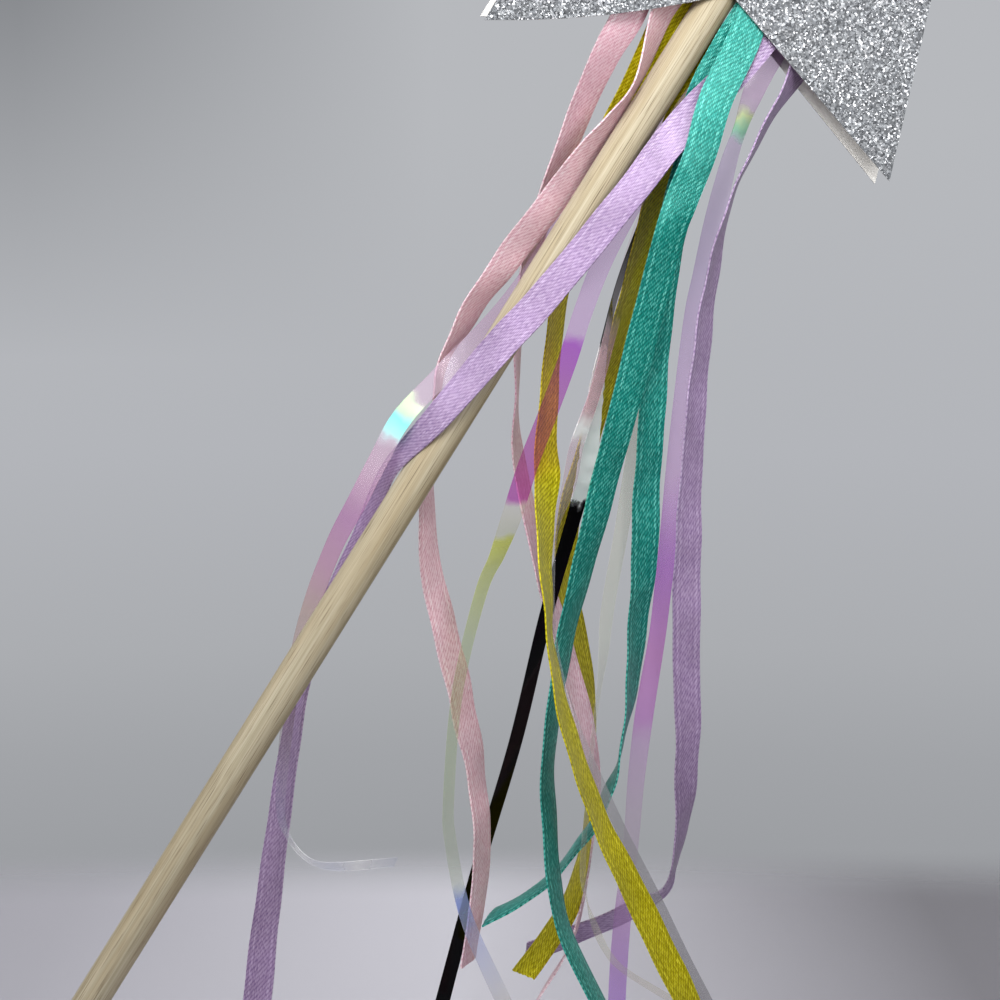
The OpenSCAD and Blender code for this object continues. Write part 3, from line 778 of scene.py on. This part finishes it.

# Foil strip: one narrow strip of metallised polyester, a mirror whose dark reflection of the room is painted
# into its colour as near black.
# It was creased near the top when the ribbons were gathered, and a bright reflection is painted as a white
# patch over the creased run.
FOIL_ROUTE = [
    (0.1570, 0.0008, 0.2375, 0), (0.1510, 0.0011, 0.2270, 0), (0.1445, 0.0030, 0.2175, 0),
    (0.1380, 0.0054, 0.2055, 20), (0.1318, 0.0062, 0.1910, 50), (0.1269, 0.0056, 0.1795, 70),
    (0.1241, 0.0035, 0.1690, 68), (0.1225, 0.0042, 0.1590, 45), (0.1210, 0.0048, 0.1460, 30),
    (0.1190, 0.0052, 0.1375, 45), (0.1135, 0.0042, 0.1180, 50), (0.1080, 0.0084, 0.0935, 50),
    (0.1010, 0.0120, 0.0685, 50), (0.0940, 0.0124, 0.0415, 45), (0.0915, 0.0126, 0.0315, 45),
]
FOIL_LENGTH = 0.219
FOIL_CUT_SLANT = 0.2
# The creased run from the top, how far the creases take to fade in and out, and their size.
CREASE_FROM = 0.079
CREASE_TO = 0.107
CREASE_FADE = 0.006
CREASE_LIFT = 0.00040
CREASE_PITCH = 0.0026
# The creases drawn at random: how many, their pitch as a share of the one above, and their slant across.
CREASES = 6
CREASE_SHARE = (0.6, 1.6)
CREASE_SLANT = (-1500, 1500)
CREASE_SEED = 60

# Metallised film: a mirror with a painted dark reflection as its near-black colour, and a painted bright
# reflection as a duller white patch over the creased run.
GLINT_GRAIN = 0.003
GLINT_RAGGED = 0.008
GLINT_EDGE = 0.001

foil = start_material("metallised_film_painted_reflections")
spot = add_node(foil, "UVMap", uv_map="Lengthways").outputs["UV"]
parts = add_node(foil, "SeparateXYZ", {0: spot})
reflection_edge_noise = add_node(foil, "TexNoise", {"Vector": spot, "Scale": 1 / GLINT_GRAIN, "Detail": 3})
stray = add_node(foil, "Math", {0: reflection_edge_noise.outputs["Fac"], 1: 0.5}, operation="SUBTRACT")
at_painted_glint = add_node(
    foil,
    "Math",
    {0: stray.outputs[0], 1: GLINT_RAGGED, 2: parts.outputs[1]},
    operation="MULTIPLY_ADD",
)
share = add_node(foil, "Math", {0: at_painted_glint.outputs[0], 1: FOIL_LENGTH}, operation="DIVIDE")
# Painted reflections down the strip: near black above and below the creased run, bright white on it, with
# ragged ends.
painted_glint_runs = (CREASE_FROM - GLINT_EDGE, CREASE_FROM, CREASE_TO, CREASE_TO + GLINT_EDGE)
foil_painted_reflection = {}
for socket, shades in (
    ("Base Color", ("#1a1a1c", "#f4f4f2", "#ffffff", "#0c0c0e")),
    ("Metallic", ([1, 1, 1, 1], [0.2, 0.2, 0.2, 1], [0.2, 0.2, 0.2, 1], [1, 1, 1, 1])),
    ("Roughness", ([0.12, 0.12, 0.12, 1], [0.4, 0.4, 0.4, 1], [0.4, 0.4, 0.4, 1], [0.12, 0.12, 0.12, 1])),
):
    painted_glint_stops = [(run / FOIL_LENGTH, shade) for run, shade in zip(painted_glint_runs, shades)]
    reflection_ramp = add_node(foil, "ValToRGB", {"Fac": share.outputs[0]}, stops=painted_glint_stops)
    foil_painted_reflection[socket] = reflection_ramp.outputs["Color"]
foil_surface = add_node(foil, "BsdfPrincipled", foil_painted_reflection)
add_node(foil, "OutputMaterial", {"Surface": foil_surface.outputs[0]})

hand = random.Random(CREASE_SEED)
creases = []
for _ in range(CREASES):
    creases.append((hand.uniform(*CREASE_SHARE), hand.uniform(0, FULL_TURN), hand.uniform(*CREASE_SLANT)))


def foil_ripple(run, off):
    fade_in = np.clip((run - CREASE_FROM) / CREASE_FADE, 0, 1)
    fade_out = np.clip((CREASE_TO - run) / CREASE_FADE, 0, 1)
    crumple = 0
    for pitch, start, slant in creases:
        crumple = crumple + np.sin(FULL_TURN * run / (CREASE_PITCH * pitch) + start + slant * off)
    return fade_in * fade_out * CREASE_LIFT * crumple / len(creases)


def foil_cut(off):
    return FOIL_CUT_SLANT * off


foil_strip = sweep_strip(
    "foil_strip", FOIL_ROUTE, FILM_WIDTH, FILM_THICK, FILM_COLUMNS, foil_ripple, foil_cut
)
dress(foil_strip, foil)

# Floor: a pale painted table top just under the wand, plain and level.
# It ends in a soft bowed line against the grey room behind.
FLOOR_HALF = 4.0
FLOOR_GAP = 0.0002
TABLE_MIDDLE = (0.105, 0, 0)
TABLE_REACH = 0.250
TABLE_FADE = 0.06
TABLE_BOW = (0.4, 1, 0)
SHADE_REACH = 0.12

floor_mesh = bpy.data.meshes.new("floor")
floor_z = cad_box[0][2] - FLOOR_GAP
corners = [(-1, -1), (1, -1), (1, 1), (-1, 1)]
floor_points = [(x * FLOOR_HALF, y * FLOOR_HALF, floor_z) for x, y in corners]
floor_mesh.from_pydata(floor_points, [], [(0, 1, 2, 3)])
floor = bpy.data.objects.new("floor", floor_mesh)
bpy.context.collection.objects.link(floor)

# Painted table top, matt and pale, with painted shade: brightest near the wand, a little darker to the left
# and darker to the right. Past its edge the room shows.
table = start_material("painted_table_matt")
place = add_node(table, "TexCoord").outputs["Object"]
from_wand = add_node(table, "VectorMath", {0: place, 1: TABLE_MIDDLE}, operation="SUBTRACT")
rounded = add_node(table, "VectorMath", {0: from_wand.outputs[0], 1: TABLE_BOW}, operation="MULTIPLY")
reach = add_node(table, "VectorMath", {0: rounded.outputs[0]}, operation="LENGTH").outputs["Value"]
sides = add_node(table, "SeparateXYZ", {0: from_wand.outputs[0]})
sideways = add_node(
    table,
    "MapRange",
    {"Value": sides.outputs[0], "From Min": -SHADE_REACH, "From Max": SHADE_REACH},
)
table_painted_shade = add_node(
    table,
    "ValToRGB",
    {"Fac": sideways.outputs[0]},
    stops=[(0.0, "#aaa9b1"), (0.45, "#bebdc5"), (1.0, "#757479")],
)
beyond = add_node(
    table,
    "MapRange",
    {"Value": reach, "From Min": TABLE_REACH - TABLE_FADE / 2, "From Max": TABLE_REACH + TABLE_FADE / 2},
    interpolation_type="SMOOTHSTEP",
)
table_face = add_node(table, "BsdfDiffuse", {"Color": table_painted_shade.outputs["Color"]})
past_edge = add_node(table, "BsdfTransparent")
faded = add_node(
    table, "MixShader", {0: beyond.outputs[0], 1: table_face.outputs[0], 2: past_edge.outputs[0]}
)
add_node(table, "OutputMaterial", {"Surface": faded.outputs[0]})
dress(floor, table)

# Light: a soft hooded lamp above and in front for the star and the ribbons' upper ends, a smaller one beside
# the camera that makes them shine, a third at the left for the lower half and a broad one behind.
# They stand in a grey room that is lighter overhead.
KEY_PLACE = (0.08, -0.28, 0.42)
KEY_AIM = (0.15, 0.0, 0.26)
KEY_SIZE = 0.22
KEY_SPREAD = math.radians(70)
KEY_WATTS = 0.38
FRONT_PLACE = (0.31, -0.36, 0.23)
FRONT_AIM = (0.14, 0.0, 0.205)
FRONT_SIZE = 0.16
FRONT_SPREAD = math.radians(90)
FRONT_WATTS = 0.18
LEFT_PLACE = (-0.36, -0.26, 0.30)
LEFT_AIM = (0.10, 0.0, 0.07)
LEFT_SIZE = 0.25
LEFT_SPREAD = math.radians(50)
LEFT_WATTS = 0.13
BACK_PLACE = (0.45, 0.90, 0.70)
BACK_AIM = (0.13, 0.0, 0.17)
BACK_SIZE = 0.6
BACK_SPREAD = math.radians(180)
BACK_WATTS = 8.0
# How far up and to the left a line of sight points at which the shown wall's painted shade and its corner of
# darker painted shade start and end.
WALL_FOOT = -0.32
WALL_TOP = 0.08
CORNER_LEFT = (-0.03, -0.2)
CORNER_UP = (-0.06, 0.09)
# The room's light from below and from overhead.
LIGHT_HEIGHTS = (-0.5, 0.8)
LIGHT_STRENGTHS = (0.03, 0.48)

for name, stand, aim, size, spread, watts in (
    ("key_lamp", KEY_PLACE, KEY_AIM, KEY_SIZE, KEY_SPREAD, KEY_WATTS),
    ("front_lamp", FRONT_PLACE, FRONT_AIM, FRONT_SIZE, FRONT_SPREAD, FRONT_WATTS),
    ("left_lamp", LEFT_PLACE, LEFT_AIM, LEFT_SIZE, LEFT_SPREAD, LEFT_WATTS),
    ("back_lamp", BACK_PLACE, BACK_AIM, BACK_SIZE, BACK_SPREAD, BACK_WATTS),
):
    lamp = bpy.data.lights.new(name, "AREA")
    lamp.size = size
    lamp.spread = spread
    lamp.energy = watts
    holder = bpy.data.objects.new(name, lamp)
    bpy.context.collection.objects.link(holder)
    holder.location = stand
    holder.visible_camera = False
    away = [stand[i] - aim[i] for i in range(3)]
    flat = math.hypot(away[0], away[1])
    holder.rotation_euler = (math.atan2(flat, away[2]), 0, math.atan2(away[0], -away[1]))

room = bpy.data.worlds.new("grey_room")
room.use_nodes = True
room.node_tree.nodes.clear()
look = add_node(room, "TexCoord").outputs["Generated"]
sight = add_node(room, "SeparateXYZ", {0: look})
height = add_node(
    room, "MapRange", {"Value": sight.outputs[2], "From Min": WALL_FOOT, "From Max": WALL_TOP}
)
# The shown room's colour is painted shade: darker towards the bottom, and darker still in a corner towards
# the upper left.
wall_painted_shade = add_node(
    room,
    "ValToRGB",
    {"Fac": height.outputs[0]},
    stops=[
        (0.1, "#9b9da1"),
        (0.23, "#a2a4a8"),
        (0.34, "#abadb1"),
        (0.55, "#b3b5ba"),
        (0.9, "#b7b9bd"),
    ],
)
leftward = add_node(
    room, "MapRange", {"Value": sight.outputs[0], "From Min": CORNER_LEFT[0], "From Max": CORNER_LEFT[1]}
)
upward = add_node(
    room, "MapRange", {"Value": sight.outputs[2], "From Min": CORNER_UP[0], "From Max": CORNER_UP[1]}
)
corner_painted_shade = add_node(room, "Math", {0: leftward.outputs[0], 1: upward.outputs[0]}, operation="MULTIPLY")
backdrop = add_node(
    room,
    "Mix",
    {0: corner_painted_shade.outputs[0], 6: wall_painted_shade.outputs["Color"], 7: linear("#8a8c90")},
    data_type="RGBA",
)
rays = add_node(room, "LightPath")
seen = add_node(
    room,
    "Math",
    {0: rays.outputs["Is Camera Ray"], 1: rays.outputs["Is Glossy Ray"]},
    operation="MAXIMUM",
)
seen_through = add_node(
    room,
    "Math",
    {0: seen.outputs[0], 1: rays.outputs["Is Transmission Ray"]},
    operation="MAXIMUM",
)
overhead = add_node(
    room,
    "MapRange",
    {
        "Value": sight.outputs[2],
        "From Min": LIGHT_HEIGHTS[0],
        "From Max": LIGHT_HEIGHTS[1],
        "To Min": LIGHT_STRENGTHS[0],
        "To Max": LIGHT_STRENGTHS[1],
    },
)
even_light = add_node(room, "Background", {"Color": linear("#ffffff"), "Strength": overhead.outputs[0]})
shown_room = add_node(room, "Background", {"Color": backdrop.outputs[2], "Strength": 1})
room_face = add_node(
    room, "MixShader", {0: seen_through.outputs[0], 1: even_light.outputs[0], 2: shown_room.outputs[0]}
)
add_node(room, "OutputWorld", {"Surface": room_face.outputs[0]})
bpy.context.scene.world = room
bpy.context.scene.view_settings.view_transform = "Standard"

# Camera: in front of the ribbons' upper half and tipped a little down, close in below the star.
# Its lens and sensor are in millimetres.
CAMERA_PLACE = (0.105, -0.4149, 0.1909)
CAMERA_TIP = math.radians(83)
CAMERA_LENS = 82.8
CAMERA_SENSOR = 36
CAMERA_NEAR = 0.01

camera_data = bpy.data.cameras.new("camera")
camera_data.sensor_width = CAMERA_SENSOR
camera_data.lens = CAMERA_LENS
camera_data.clip_start = CAMERA_NEAR
camera = bpy.data.objects.new("camera", camera_data)
camera.location = CAMERA_PLACE
camera.rotation_euler = (CAMERA_TIP, 0, 0)
bpy.context.collection.objects.link(camera)
bpy.context.scene.camera = camera
